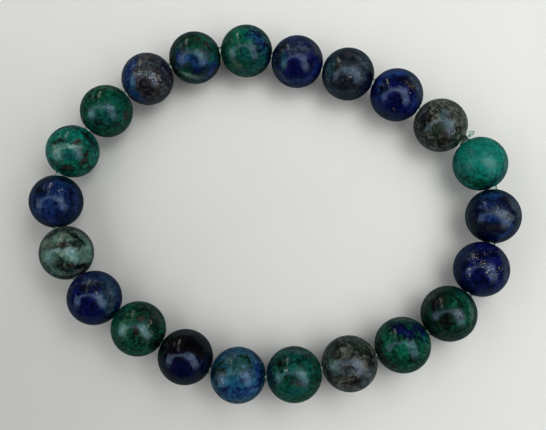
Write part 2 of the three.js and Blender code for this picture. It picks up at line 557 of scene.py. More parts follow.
    "bead_19": ("bright", 0.22, 1, """
emerald 10 -10 90 80 0 65
moss -58 34 36 13 15 95
black -55 32 24 7 20 90
black 64 48 48 18 125 98
brown 18 36 20 13 10 90
black -24 -60 18 13 30 95
moss 45 -25 40 12 60 92
emerald 15 -65 50 16 0 60
moss 62 -62 32 10 130 75
teal 75 -2 30 12 90 80
mint -60 0 30 20 120 85
mint -10 20 40 6 0 55
bright 5 60 50 12 0 70
moss -10 92 60 7 0 80
slate -90 -15 40 8 90 60
grey 22 -6 16 13 90 75
pale 20 -6 6 6 0 60
teal -12 -16 34 16 5 75
moss -50 -60 40 18 140 80
moss 0 -66 40 14 0 45
mint 0 16 40 8 175 60
brown -22 -60 20 12 30 90
black -20 -58 24 8 30 60
brown 46 -26 24 10 60 80
mint -58 -2 28 16 110 50
mint -10 18 46 8 175 55
"""),
    "bead_20": ("emerald", 0.2, 1, """
teal 0 -20 70 50 0 55
moss -72 -62 60 18 135 95
moss -45 55 40 18 20 70
moss 65 30 36 14 110 50
grey 15 84 50 9 0 50
bright 25 45 35 14 160 30
slate 88 30 40 7 110 50
moss 35 -50 26 9 20 60
pale 10 16 10 6 0 95
emerald -60 48 36 18 45 70
moss 0 -62 60 18 5 50
mint -5 15 30 6 5 30
brown 68 -12 16 12 100 95
black -20 -44 22 14 0 80
mint -56 -4 20 14 100 25
"""),
    # Its pale and slate bands above the middle, pale and brass patches right of it and azure ones
    # left of it are painted highlights.
    "bead_21": ("taupe", 0.21, 1, """
black 20 -20 66 46 20 75
slate 10 58 50 18 0 55
navy 72 35 50 18 110 92
royal -80 5 85 22 97 98
royal -45 -62 46 16 122 95
navy -74 42 40 10 85 85
slate 62 -35 45 14 110 50
grey 0 15 60 12 170 55
brown 32 -35 30 12 150 50
navy 60 0 24 10 120 60
pale 0 17 50 12 170 85
pale 28 4 34 14 150 75
brass 34 -28 24 11 150 70
pale -42 18 14 9 0 65
brass 30 -10 30 10 120 40
royal -66 42 40 16 60 85
azure -56 -8 30 9 100 70
pale -5 16 40 12 170 60
slate -10 14 40 12 170 40
azure -60 -16 40 10 104 50
"""),
    "bead_22": ("moss", 0.2, 1, """
emerald 45 20 70 50 100 80
teal 62 35 50 22 110 70
black 0 60 70 14 0 60
emerald -10 45 30 14 30 60
navy -58 0 50 26 95 88
royal -62 -15 36 16 90 60
slate -48 5 34 10 100 50
royal 5 -12 50 18 160 70
royal 60 -48 46 22 65 92
slate 32 10 24 24 90 60
mint 4 18 16 11 0 75
moss 75 10 30 10 100 50
emerald -38 -54 34 12 155 90
mint -30 -66 40 10 160 65
teal 0 -90 50 9 0 70
indigo 10 -42 24 16 10 98
emerald 0 72 60 16 0 60
slate 10 -74 40 12 0 60
teal -2 16 34 14 150 55
royal -12 -12 34 16 0 60
brown 16 68 18 10 0 85
brown 48 44 20 11 130 85
mint 14 12 26 14 140 35
teal -56 48 26 14 45 50
azure 0 -8 50 26 0 25
"""),
}

# The windows and lamps that polished stone mirrors. Each is a strip, given by where its highlight
# starts, ends and how wide it is on a bead in the middle of the bracelet (right and up in bead
# radii, as the camera sees it), its distance, and its glow in red, green and blue.
HIGHLIGHTS = {
    "left_window": ((-0.48, 0.06), (-0.52, -0.2), 0.2, 0.25, (0.39, 0.58, 0.86)),
    "left_foot": ((-0.52, -0.08), (-0.56, -0.34), 0.16, 0.25, (0.14, 0.2, 0.3)),
    "arch_left": ((-0.44, 0.04), (-0.25, 0.12), 0.09, 0.4, (0.47, 0.74, 1.03)),
    "arch_top": ((-0.25, 0.12), (0.06, 0.14), 0.09, 0.4, (0.47, 0.74, 1.03)),
    "window_head": ((0.02, 0.14), (0.36, 0.04), 0.24, 0.4, (0.4, 0.58, 0.84)),
    "right_window": ((0.16, 0.12), (0.36, -0.3), 0.26, 0.2, (0.44, 0.63, 0.92)),
    "window_foot": ((0.31, -0.12), (0.4, -0.4), 0.22, 0.22, (0.2, 0.3, 0.42)),
    "lamp_strip": ((-0.28, 0.62), (-0.27, 0.42), 0.018, 0.15, (4.9, 5.0, 4.1)),
    "lamp_glow": ((-0.27, 0.36), (-0.25, 0.18), 0.04, 0.15, (0.7, 0.85, 1.0)),
    "faint_strip": ((-0.47, 0.5), (-0.45, 0.36), 0.018, 0.15, (1.5, 1.5, 1.3)),
}

# The light on matt surfaces: tilt from overhead and bearing from +X, the angles that it spans
# along its bearing and across it, all in degrees, and its glow.
SOFT_LIGHTS = {
    "overhead_light": (20, 20, 34, 34, 3.35),
    "right_light": (42, -22, 32, 45, 2.3),
    "far_light": (42, 45, 32, 45, 1.7),
    "left_light": (46, 190, 40, 70, 1.3),
}

# The room and the floor: the colour of the room, its glow behind the floor, the share of the
# floor's colour that polished stone sees, which is painted shade that darkens the floor's
# reflection in the beads, how far above the camera its shade lies, and the floor's cells, faint
# cloud, and least and greatest tone
SKY_TINT = (1.0, 1.0, 1.0, 1.0)
BACKDROP = 0.72
FLOOR_SHADE_IN_GLOSS = (0.085, 0.12, 0.13)
SHADE_RISE = 2.5 * MM
FLOOR_CELLS = 8
FLOOR_CLOUD = (60.0, 4.0)
FLOOR_TONES = (0.97, 1.03)

# The cord's short end, from inside the knot to its cut. Each row is a place in millimetres (along
# the strand, out of the loop, up) and the half thickness along the strand and the half width up,
# as shares of the cord's radius: two beads pinch it flat, and it is round again at the cut.
TAIL = (
    (0.0, 0.35, 0.0, 0.42, 1.3),
    (0.0, 0.8, 0.0, 0.40, 1.38),
    (-0.01, 1.15, 0.0, 0.55, 1.3),
    (-0.05, 1.42, 0.02, 0.85, 1.12),
    (-0.15, 1.66, 0.05, 1.05, 1.0),
    (-0.32, 1.86, 0.1, 1.05, 1.0),
)


def unit(vectors):
    """Each vector divided by its own length."""
    return vectors / np.linalg.norm(vectors, axis=-1, keepdims=True)


def bead_centres():
    """The middle of each packed bead's box, one row per bead."""
    boxes = np.array([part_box(name) for name in BEADS])
    return boxes.mean(axis=1)


def meeting_points(centres, holes):
    """Half way between where a bead's hole points ahead and where the next bead's points back."""
    following = np.roll(centres, -1, axis=0)
    half = np.linalg.norm(following - centres, axis=1, keepdims=True) / 2
    ahead = centres + holes * half
    behind = following - np.roll(holes, -1, axis=0) * half
    return (ahead + behind) / 2


def hole_directions(centres):
    """Each hole first points from the last bead to the next; then it is turned a few times
    towards the line between its two meeting points, until neighbouring holes meet."""
    holes = unit(np.roll(centres, -1, axis=0) - np.roll(centres, 1, axis=0))
    for _ in range(TURNING_PASSES):
        meeting = meeting_points(centres, holes)
        holes = unit(meeting - np.roll(meeting, 1, axis=0))
    return holes


def mesh_object(name, points, faces, smooth=True):
    """A new mesh object of the points (N, 3) and the faces, a list of index arrays by face size."""
    mesh = bpy.data.meshes.new(name)
    corners = [face for block in faces for face in block.tolist()]
    mesh.from_pydata(points.tolist(), [], corners, shade_flat=not smooth)
    mesh.validate()
    made = bpy.data.objects.new(name, mesh)
    bpy.context.scene.collection.objects.link(made)
    return made


def turns(count):
    """The angles of so many equal steps round a circle."""
    return np.arange(count) * 2 * math.pi / count


def grid_faces(rows, columns, rows_closed):
    """Quads over a grid of points whose columns close on themselves, and whose rows may too.
    With rows running one way and columns turning left about it, the faces point outwards."""
    index = np.arange(rows * columns).reshape(rows, columns)
    if rows_closed:
        index = np.vstack((index, index[:1]))
    right = np.roll(index, -1, axis=1)
    corners = (index[:-1], right[:-1], right[1:], index[1:])
    return np.stack([corner.ravel() for corner in corners], axis=1)


def bent_corner(start, corner, end, steps):
    """A smooth curve from start to end that is pulled towards the corner."""
    share = np.linspace(0, 1, steps)[:, None]
    return (1 - share) ** 2 * start + 2 * share * (1 - share) * corner + share**2 * end


def mouth_section(radius, width, depth, sizes):
    """Half section of one end of a hole, from the ball's surface to the hole's wall: a rounded
    edge, a cone, and an eased throat. Columns are the distance along the hole and from it."""
    rounding = sizes.edge_rounding
    edge_turn = math.asin(width / 2 / radius)
    eased_turn = edge_turn + rounding / radius
    edge = np.array((math.cos(edge_turn), math.sin(edge_turn))) * radius
    surface = np.array((math.cos(eased_turn), math.sin(eased_turn))) * radius
    throat = np.array((edge[0] - depth, sizes.hole_diameter / 2))
    ease = min(rounding / np.linalg.norm(throat - edge), 0.45)
    rim = bent_corner(surface, edge, edge + (throat - edge) * ease, EDGE_STEPS)
    wall = throat - np.array((rounding, 0.0))
    inner = bent_corner(throat + (edge - throat) * ease, throat, wall, EDGE_STEPS)
    return np.vstack((rim, inner)), eased_turn


def bead_section(mouths, sizes):
    """Closed half section of a drilled ball: the outer arc from the first mouth to the second,
    in through the second mouth, back along the hole's wall and out through the first."""
    radius = sizes.bead_diameter / 2
    ends = (mouth_section(radius, *mouth, sizes) for mouth in mouths)
    (first, first_turn), (second, second_turn) = ends
    turn = np.linspace(first_turn, math.pi - second_turn, BEAD_ALONG)
    outer = np.column_stack((-np.cos(turn), np.sin(turn))) * radius
    first = first * (-1, 1)
    share = np.linspace(0, 1, WALL_STEPS)[:, None]
    wall = second[-1] + (first[-1] - second[-1]) * share
    return np.vstack((outer, second[1:], wall[1:-1], first[::-1][:-1]))


def dents(directions, seed, sizes):
    """How deep the surface lies under a true ball, as a share of the radius, in each direction:
    a slow unevenness from a few sine waves, and small round hollows that fade like a bell curve."""
    draw = np.random.default_rng(seed)
    waves = draw.normal(0, WAVE_SPREAD, (WAVES, 3))
    start = draw.uniform(0, 2 * math.pi, WAVES)
    uneven = 0.5 + 0.5 * np.sin(directions @ waves.T + start).mean(axis=1)
    places = unit(draw.normal(0, 1, (sizes.hollows, 3)))
    least_width, least_depth = LEAST_HOLLOW
    widths = draw.uniform(least_width, 1.0, sizes.hollows) * sizes.hollow_width
    depths = draw.uniform(least_depth, 1.0, sizes.hollows) * sizes.hollow_depth
    apart = np.linalg.norm(directions[:, None, :] - places[None, :, :], axis=2)
    pits = depths * np.exp(-((apart * sizes.bead_diameter / widths) ** 2))
    return (uneven * sizes.unevenness + pits.sum(axis=1)) * 2 / sizes.bead_diameter


def bead_points(centre, hole, section, seed, sizes):
    """The section carried round the hole: distance along it times the hole's direction, plus
    distance from it times a direction that turns round it; then the dents pull points inwards."""
    side = np.cross(UP, hole)
    around = turns(BEAD_AROUND)
    spokes = np.cos(around)[:, None] * side + np.sin(around)[:, None] * UP
    points = section[:, None, :1] * hole + section[:, None, 1:] * spokes
    points = points.reshape(-1, 3)
    points *= 1 - dents(unit(points), seed, sizes)[:, None]
    return centre + points


def cubic(start, end, start_slope, end_slope, t):
    """Places at the shares t of the way on a cubic with the given ends and slopes."""
    return (
        start * (2 * t**3 - 3 * t**2 + 1)
        + start_slope * (t**3 - 2 * t**2 + t)
        + end * (3 * t**2 - 2 * t**3)
        + end_slope * (t**3 - t**2)
    )


def cord_route(centres, holes, meeting):
    """The cord's middle line, closely spaced: straight along each hole where it crosses a bead's
    centre, and a smooth cubic between centres and meeting points."""
    bends = unit(holes + np.roll(holes, -1, axis=0))
    nodes = np.stack((centres, meeting), axis=1).reshape(-1, 3)
    tangents = np.stack((holes, bends), axis=1).reshape(-1, 3)
    ends, end_tangents = np.roll(nodes, -1, axis=0), np.roll(tangents, -1, axis=0)
    spans = np.linalg.norm(ends - nodes, axis=1)[:, None]
    t = (np.arange(ROUTE_STEPS) / ROUTE_STEPS)[None, :, None]
    parts = (nodes, ends, tangents * spans, end_tangents * spans)
    return cubic(*(part[:, None, :] for part in parts), t).reshape(-1, 3)


def cord_points(route, knot_at, sizes):
    """Rings of the closed cord, and of the knot as a swelling of it. A ring's radius is the cord's,
    plus a lump that rises and falls like half an ellipse along the cord, plus ridges on the lump
    that wind round it like the turns of a tied knot."""
    closed = np.vstack((route, route[:1]))
    lengths = np.concatenate(([0], np.cumsum(np.linalg.norm(np.diff(closed, axis=0), axis=1))))
    middle, whole = lengths[knot_at], lengths[-1]
    reach = sizes.knot_length / 2
    fine = np.linspace(-KNOT_OVERLAP, KNOT_OVERLAP, KNOT_STEPS) * reach
    coarse = np.linspace(fine[-1], whole + fine[0], CORD_RINGS + 2)[1:-1]
    along = np.concatenate((fine, coarse))
    at = (middle + along) % whole
    places = np.column_stack([np.interp(at, lengths, closed[:, axis]) for axis in range(3)])
    directions = unit(np.roll(places, -1, axis=0) - np.roll(places, 1, axis=0))
    side = unit(np.cross(directions, UP))
    around = turns(CORD_AROUND)
    inside = np.clip(1 - (along / reach) ** 2, 0, 1) * (np.arange(len(along)) < KNOT_STEPS)
    lump = np.sqrt(inside)[:, None]
    radius = sizes.cord_diameter / 2
    winding = np.cos(around[None, :] - 2 * math.pi * along[:, None] / sizes.knot_turn)
    swell = sizes.knot_diameter / 2 - radius - sizes.knot_ridge
    rings = radius + lump * swell + lump * sizes.knot_ridge * winding
    spokes = np.cos(around)[None, :, None] * side[:, None, :] - np.sin(around)[None, :, None] * UP
    return (places[:, None, :] + rings[:, :, None] * spokes).reshape(-1, 3)


def curve_through(points, steps):
    """Places on a smooth curve through all the points, from cubics whose slope at each point
    is half the way from the point before it to the one after it."""
    points = np.asarray(points, float)
    slopes = np.gradient(points, axis=0)
    t = np.linspace(0, 1, steps, endpoint=False)[None, :, None]
    parts = (points[:-1], points[1:], slopes[:-1], slopes[1:])
    places = cubic(*(part[:, None, :] for part in parts), t)
    return np.vstack((places.reshape(-1, points.shape[1]), points[-1:]))


def tail_points(start, along, sizes):
    """Rings of the cord's short end, from inside the knot to its cut: ellipses across a smooth
    curve, thin and wide where two beads pinch it and round at the cut. The last rings shrink a
    little, which breaks the edge of the cut."""
    out = np.cross(UP, along)
    axes = np.array((along, out, UP))
    radius = sizes.cord_diameter / 2
    rows = curve_through([row[:3] for row in TAIL], TAIL_STEPS)
    middle = start + rows * MM @ axes
    halves = curve_through([row[3:] for row in TAIL], TAIL_STEPS) * radius
    directions = unit(np.gradient(middle, axis=0))
    broad = unit(UP - directions * directions[:, 2:])
    thin = np.cross(broad, directions)
    middle = np.vstack((middle, middle[-1] + directions[-1] * sizes.cut_bevel))
    halves = np.vstack((halves, halves[-1] - sizes.cut_bevel))
    thin, broad = (np.vstack((rows, rows[-1:])) for rows in (thin, broad))
    around = turns(TAIL_AROUND)
    across = np.cos(around)[None, :, None] * (thin * halves[:, :1])[:, None, :]
    upright = np.sin(around)[None, :, None] * (broad * halves[:, 1:])[:, None, :]
    return (middle[:, None, :] + across + upright).reshape(-1, 3), len(middle)


def joined(first, second):
    """One closed mesh of two that overlap, on the first object; the second is removed."""
    union = first.modifiers.new("union", "BOOLEAN")
    union.operation = "UNION"
    union.solver = "EXACT"
    union.object = second
    seen = first.evaluated_get(bpy.context.evaluated_depsgraph_get())
    whole = bpy.data.meshes.new_from_object(seen)
    first.modifiers.clear()
    old = first.data
    first.data = whole
    whole.name = first.name
    bpy.data.objects.remove(second)
    bpy.data.meshes.remove(old)
    whole.shade_smooth()
    return first


# Properties


def shade(name, description, red, green, blue):
    """A colour property. Its default is given as it looks on a screen, from 0 to 255 a channel."""
    seen = np.array((red, green, blue)) / 255
    linear = np.where(seen <= 0.04045, seen / 12.92, ((seen + 0.055) / 1.055) ** 2.4)
    kind = {"subtype": "COLOR", "size": 3, "min": 0, "max": 1}
    default = tuple(float(value) for value in linear)
    return FloatVectorProperty(name=name, description=description, default=default, **kind)


def mineral_shades():
    """A dark and a light colour property for each mineral."""
    made = {}
    for mineral, (dark_note, dark, light_note, light) in MINERALS.items():
        made[f"{mineral}_dark"] = shade(f"{mineral.capitalize()}, dark", dark_note, *dark)
        made[f"{mineral}_light"] = shade(f"{mineral.capitalize()}, light", light_note, *light)
    return made


def number(name, description, default, **kind):
    """A number property."""
    return FloatProperty(name=name, description=description, default=default, **kind)


def length(name, description, default):
    """A length property, in metres."""
    return number(name, description, default, min=0, unit="LENGTH", precision=5)


class BraceletSizes(bpy.types.PropertyGroup):
    """Sizes of the beads and the cord."""

    bead_diameter: length(
        "Bead diameter",
        "Across each polished ball",
        round(float(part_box("bead_01")[1].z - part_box("bead_01")[0].z), 5),
    )
    hole_diameter: length("Hole diameter", "Bore of each bead", 1.2 * MM)
    mouth_width: length("Mouth width", "Across the cone where a hole opens", 1.5 * MM)
    mouth_depth: length("Mouth depth", "Depth of that cone", 0.2 * MM)
    knot_mouth_width: length("Knot mouth width", "The same beside the knot", 2.05 * MM)
    knot_mouth_depth: length("Knot mouth depth", "Depth of the cone beside the knot", 1.15 * MM)
    edge_rounding: length("Edge rounding", "Polished rounding of a hole's edge", 0.12 * MM)
    unevenness: length("Unevenness", "Slow unevenness of a hand-polished ball", 0.02 * MM)
    hollow_depth: length("Hollow depth", "Deepest small hollow in the stone", 0.03 * MM)
    hollow_width: length("Hollow width", "Widest small hollow in the stone", 0.55 * MM)
    hollows: bpy.props.IntProperty(
        name="Hollows", description="Small hollows in each bead", default=14, min=0, max=60
    )
    cord_diameter: length("Cord diameter", "Thickness of the elastic cord", 0.8 * MM)
    knot_diameter: length("Knot diameter", "Across the tied knot", 1.75 * MM)
    knot_length: length("Knot length", "Along the tied knot", 1.95 * MM)
    knot_turn: length("Knot turn", "Length of one turn of the knot", 0.7 * MM)
    knot_ridge: length("Knot ridge", "Height of the knot's turns", 0.09 * MM)
    cut_bevel: length("Cut bevel", "Broken edge at the cord's cut end", 0.03 * MM)


class StoneColours(bpy.types.PropertyGroup):
    """The darkest and the lightest shade of each mineral in the beads."""

    __annotations__ = mineral_shades()


class StageSettings(bpy.types.PropertyGroup):
    """The floor, the light and the camera."""

    floor_colour: shade("Floor colour", "Plain pale floor", 228, 229, 225)
    floor_reach: length("Floor reach", "From the middle of the floor to its edge", 0.45)
    sky_strength: number("Sky strength", "Even soft light from all round", 0.16, min=0)
    sky_in_gloss: number("Sky in gloss", "How bright polished stone sees the room", 0.012, min=0)
    light_distance: length("Light distance", "From the bracelet to each soft light", 0.6)
    shade_reach: length("Shade reach", "Half the width of the camera's shade", 0.045)
    camera_place: FloatVectorProperty(
        name="Camera place",
        description="Where the camera stands over the bracelet",
        default=(0.00445, -0.01851, 0.10648),
        subtype="TRANSLATION",
        unit="LENGTH",
    )
    camera_pitch: number(
        "Camera pitch", "Turn about X from straight down", math.radians(9.56), subtype="ANGLE"
    )
    camera_lean: number(
        "Camera lean", "Turn about Y from straight down", math.radians(2.43), subtype="ANGLE"
    )
    camera_lens: number("Camera lens", "Focal length in mm, for a 36 mm sensor", 46.15, min=1)


# Node helpers


def add(tree, kind, inputs=None, **settings):
    """Adds a node, sets its settings, and gives each named or numbered input a socket or value."""
    made = tree.nodes.new(kind)
    for name, value in settings.items():
        setattr(made, name, value)
    for name, value in (inputs or {}).items():
        if isinstance(value, bpy.types.NodeSocket):
            tree.links.new(value, made.inputs[name])
        else:
            made.inputs[name].default_value = value
    return made


def maths(tree, operation, first, second=0.0, clamp=False):
    """The result of a Math node."""
    settings = {"operation": operation, "use_clamp": clamp}
    return add(tree, "ShaderNodeMath", {0: first, 1: second}, **settings).outputs[0]


def vectors(tree, operation, first, second):
    """The vector result of a Vector Math node."""
    made = add(tree, "ShaderNodeVectorMath", {0: first, 1: second}, operation=operation)
    return made.outputs["Vector"]


def blended(tree, share, first, second):
    """Two colours mixed: the second takes the given share."""
    made = add(tree, "ShaderNodeMix", {0: share, 6: first, 7: second}, data_type="RGBA")
    return made.outputs[2]


def between(tree, share, first, second):
    """Two numbers mixed: the second takes the given share."""
    return add(tree, "ShaderNodeMix", {0: share, 2: first, 3: second}).outputs[0]


def spread(tree, value, low, high, smooth=False):
    """The value as a share of the way from low to high."""
    inputs = {"Value": value, "From Min": low, "From Max": high}
    way = "SMOOTHSTEP" if smooth else "LINEAR"
    return add(tree, "ShaderNodeMapRange", inputs, interpolation_type=way).outputs[0]


def noise(tree, vector, scale, detail, roughness=0.55, distortion=0.0):
    """A Noise Texture node in three dimensions."""
    detail = {"Detail": detail, "Roughness": roughness, "Distortion": distortion}
    return add(tree, "ShaderNodeTexNoise", {"Vector": vector, "Scale": scale, **detail})


def in_mirrors(tree):
    """One for what a polished surface mirrors, and nought for what is seen through the clear cord,
    because a ray through clear stuff counts as glossy too."""
    ray = add(tree, "ShaderNodeLightPath").outputs
    return maths(tree, "SUBTRACT", ray["Is Glossy Ray"], ray["Is Transmission Ray"], clamp=True)


def new_group(name, takes, gives):
    """An empty shader node group with the inputs and outputs that two lists of words name: places
    and seeds are vectors, and all others are plain values."""
    group = bpy.data.node_groups.new(name, "ShaderNodeTree")
    for way, labels in (("INPUT", takes), ("OUTPUT", gives)):
        for label in labels.split():
            kind = "NodeSocketVector" if label in ("Vector", "Seed") else "NodeSocketFloat"
            group.interface.new_socket(label, in_out=way, socket_type=kind)
    return group, group.nodes.new("NodeGroupInput").outputs, group.nodes.new("NodeGroupOutput")


def scattered_cells(group, place, scale):
    """A Voronoi pattern: the distance to a cell's middle, and two chance numbers for each cell."""
    cells = add(group, "ShaderNodeTexVoronoi", {"Vector": place, "Scale": scale}).outputs
    chance = add(group, "ShaderNodeSeparateColor", {0: cells["Color"]}).outputs
    return cells["Distance"], chance[0], chance[1]


def give(group, outlet, **results):
    """Links the group's results to its outputs."""
    for label, socket in results.items():
        group.links.new(socket, outlet.inputs[label])
    return group


def placed(tree, group, **inputs):
    """The outputs of a group node whose inputs are filled."""
    return add(tree, "ShaderNodeGroup", inputs, node_tree=group).outputs


# Shared effects


def wandering_group():
    """Shifts places by slow and quick noise, so that patches get the edges of grown minerals."""
    group, taken, outlet = new_group("wandering_edges", "Vector Seed", "Vector")
    moved = vectors(group, "ADD", taken["Vector"], taken["Seed"])
    result = taken["Vector"]
    for scale, reach in WANDERING:
        shift = noise(group, moved, scale, 2.0).outputs["Color"]
        centred = vectors(group, "SUBTRACT", shift, (0.5, 0.5, 0.5))
        result = vectors(group, "ADD", result, vectors(group, "MULTIPLY", centred, (reach,) * 3))
    return give(group, outlet, Vector=result)


def mottling_group():
    """Two masks: fine broken grain, and the share of the light shade in a mineral, which mixes
    soft clouds, grain and speckle, and adds veins where a slow noise crosses its middle value."""
    group, taken, outlet = new_group("stone_mottling", "Vector Seed", "Grain Shade")
    moved = vectors(group, "ADD", taken["Vector"], taken["Seed"])
    clouds = spread(group, noise(group, moved, *CLOUDS).outputs[0], *CLOUD_RANGE)
    grain = spread(group, noise(group, moved, *GRAIN).outputs[0], *GRAIN_RANGE)
    speckle = spread(group, noise(group, moved, *SPECKLE).outputs[0], *CLOUD_RANGE)
    threads = maths(group, "SUBTRACT", noise(group, moved, *THREADS).outputs[0], 0.5)
    veins = spread(group, maths(group, "ABSOLUTE", threads), THREAD_WIDTH, 0)
    body = between(group, SPECKLE_SHARE, between(group, GRAIN_SHARE, clouds, grain), speckle)
    body = spread(group, body, *SHADE_RANGE)
    shade = maths(group, "ADD", body, maths(group, "MULTIPLY", veins, VEIN_SHARE))
    shade = maths(group, "POWER", shade, SHADE_POWER, clamp=True)
    return give(group, outlet, Grain=grain, Shade=shade)


def patch_group():
    """A ragged patch: full well within one unit of the scaled place's middle and gone well beyond
    it, with a soft border between them that the grain breaks up."""
    group, taken, outlet = new_group("mineral_patch", "Vector Grain Strength", "Mask")
    reach = add(group, "ShaderNodeVectorMath", {0: taken["Vector"]}, operation="LENGTH")
    ragged = maths(group, "MULTIPLY", maths(group, "SUBTRACT", taken["Grain"], 0.5), RAGGEDNESS)
    reach = maths(group, "ADD", reach.outputs["Value"], ragged)
    mask = spread(group, reach, 1 + PATCH_SOFTNESS, 1 - PATCH_SOFTNESS, smooth=True)
    return give(group, outlet, Mask=maths(group, "MULTIPLY", mask, taken["Strength"]))


def flecks_group():
    """Small bright specks: round dots in the cells of a Voronoi pattern, in some of the cells."""
    group, taken, outlet = new_group("scattered_flecks", "Vector Seed Scale Share", "Mask")
    moved = vectors(group, "ADD", taken["Vector"], taken["Seed"])
    away, chance, growth = scattered_cells(group, moved, taken["Scale"])
    away = maths(group, "DIVIDE", away, between(group, growth, *FLECK_SIZES))
    dot = spread(group, away, *FLECK_EDGE, smooth=True)
    there = maths(group, "LESS_THAN", chance, taken["Share"])
    return give(group, outlet, Mask=maths(group, "MULTIPLY", dot, there))


def polish_group():
    """The relief of a polished stone: fine grain that polishing leaves, and rare pinholes."""
    group, taken, outlet = new_group("polished_relief", "Vector Seed Grain", "Height")
    moved = vectors(group, "ADD", taken["Vector"], taken["Seed"])
    away, chance, _ = scattered_cells(group, moved, PINHOLE_SCALE)
    hole = spread(group, away, *PINHOLE_EDGE, smooth=True)
    hole = maths(group, "MULTIPLY", hole, maths(group, "LESS_THAN", chance, PINHOLE_SHARE))
    waves = noise(group, moved, *RELIEF_WAVES).outputs[0]
    relief = maths(group, "ADD", maths(group, "MULTIPLY", taken["Grain"], RELIEF_GRAIN), waves)
    return give(group, outlet, Height=maths(group, "SUBTRACT", relief, hole))


# Materials


def new_material(name):
    """A material with an empty node tree and its output node."""
    material = bpy.data.materials.new(name)
    material.use_nodes = True
    tree = material.node_tree
    tree.nodes.clear()
    return material, tree, tree.nodes.new("ShaderNodeOutputMaterial")


def surfaced(tree, output, surface):
    """Adds a Principled shader with the given inputs and links it to the output's surface."""
    shader = add(tree, "ShaderNodeBsdfPrincipled", surface)
    tree.links.new(shader.outputs[0], output.inputs["Surface"])


def bead_face(centre, stage):
    """Right, up and towards the camera's place, as seen from there at the bead's centre."""
    towards = unit(np.array(stage.camera_place) - centre)
    turned = camera_turn(stage)
    right = np.array(turned.col[0])
    right = unit(right - towards * (right @ towards))
    return np.array((right, np.cross(towards, right), towards))


def camera_turn(stage):
    """The camera's turn from looking straight down: pitched about X, then leant about Y."""
    pitch = Matrix.Rotation(stage.camera_pitch, 3, "X")
    return Matrix.Rotation(stage.camera_lean, 3, "Y") @ pitch


def patch_frame(face, right, up, turn, hidden):
    """The place and axes of a patch on a unit ball: its length lies at the given turn in the
    face's plane, and its third axis points out of the ball."""
    depth = math.sqrt(max(1 - right**2 - up**2, 0.02)) * (-1 if hidden else 1)
    outward = unit(np.array((right, up, depth)) @ face)
    lengthwise = np.array((math.cos(turn), math.sin(turn), 0)) @ face
    lengthwise = unit(lengthwise - outward * (lengthwise @ outward))
    axes = Matrix(np.array((lengthwise, np.cross(outward, lengthwise), outward)).T.tolist())
    return outward, axes.to_euler("XYZ")


def all_patches(rows, draw):
    """The patches of the upper face as written, and the same ones on the hidden face, turned by
    one chance angle and shifted a little, so that both sides are the same stone."""
    patches = []
    for row in rows.split("\n")[1:-1]:
        mineral, *numbers = row.split()
        right, up, long, wide, turn, strength = (int(number) / 100 for number in numbers)
        patches.append((mineral, right, up, long, wide, math.radians(turn * 100), strength))
    for patch in patches:
        yield *patch, False
    about = draw.uniform(*HIDDEN_TURN)
    for mineral, right, up, long, wide, turn, strength in patches:
        shift = draw.normal(0, HIDDEN_SHIFT, 2)
        far_right = right * math.cos(about) - up * math.sin(about) + shift[0]
        far_up = right * math.sin(about) + up * math.cos(about) + shift[1]
        reach = max(math.hypot(far_right, far_up) / HIDDEN_REACH, 1)
        places = (far_right / reach, far_up / reach)
        yield mineral, *places, long, wide, turn + about, strength, True


def stone_base(tree, centre, radius, seed, groups):
    """What all of a stone's patterns start from: its seed with places on a ball of radius one,
    the same places with wandering edges, and the stone's grain and shade."""
    spot = add(tree, "ShaderNodeTexCoord").outputs["Object"]
    ball = {"Vector": spot, "Location": tuple(-centre / radius), "Scale": (1 / radius,) * 3}
    ball = add(tree, "ShaderNodeMapping", ball, vector_type="POINT").outputs[0]
    base = {"places": {"Vector": ball, "Seed": seed}}
    base["wandering"] = placed(tree, groups["edges"], **base["places"])["Vector"]
    mottling = placed(tree, groups["mottling"], **base["places"])
    return {**base, "grain": mottling["Grain"], "shade": mottling["Shade"]}


def patch_mask(tree, patch, face, base, groups):
    """How much of each spot the patch covers: less at its ragged border, and only chance specks
    of it where its mineral comes in flecks."""
    mineral, right, up, long, wide, turn, strength, hidden = patch
    fleck = mineral in FLECKS
    place, turned = patch_frame(face, right, up, turn, hidden)
    scaled = {
        "Vector": base["places"]["Vector"] if fleck else base["wandering"],
        "Location": tuple(place),
        "Rotation": turned,
        "Scale": (long, wide, PATCH_DEPTH),
    }
    scaled = add(tree, "ShaderNodeMapping", scaled, vector_type="TEXTURE").outputs[0]
    shape = {"Vector": scaled, "Grain": base["grain"], "Strength": 1.0 if fleck else strength}
    mask = placed(tree, groups["patch"], **shape)["Mask"]
    if not fleck:
        return mask
    dots = {**base["places"], "Scale": FLECKS[mineral], "Share": strength}
    return maths(tree, "MULTIPLY", mask, placed(tree, groups["flecks"], **dots)["Mask"])


def stone_colour(tree, name, face, base, draw, groups, colours):
    """The stone's colour and roughness: those of its ground mineral, mixed with those of each
    patch by the patch's mask. A mineral's colour is its two shades mixed by the mottling."""
    ground, roughness, _, rows = STONES[name]
    made = {}

    def mineral_colour(mineral):
        """The mineral's colour, made once for each stone."""
        if mineral not in made:
            ends = (getattr(colours, f"{mineral}_{end}") for end in ("dark", "light"))
            made[mineral] = blended(tree, base["shade"], *((*end, 1) for end in ends))
        return made[mineral]

    colour = mineral_colour(ground)
    rough = roughness
    for patch in all_patches(rows, draw):
        mask = patch_mask(tree, patch, face, base, groups)
        dull = patch[0] in DULL
        colour = blended(tree, mask, colour, mineral_colour(patch[0]))
        if dull != (ground in DULL):
            rough = between(tree, mask, rough, roughness + DULL_ROUGHNESS * dull)
    return colour, rough


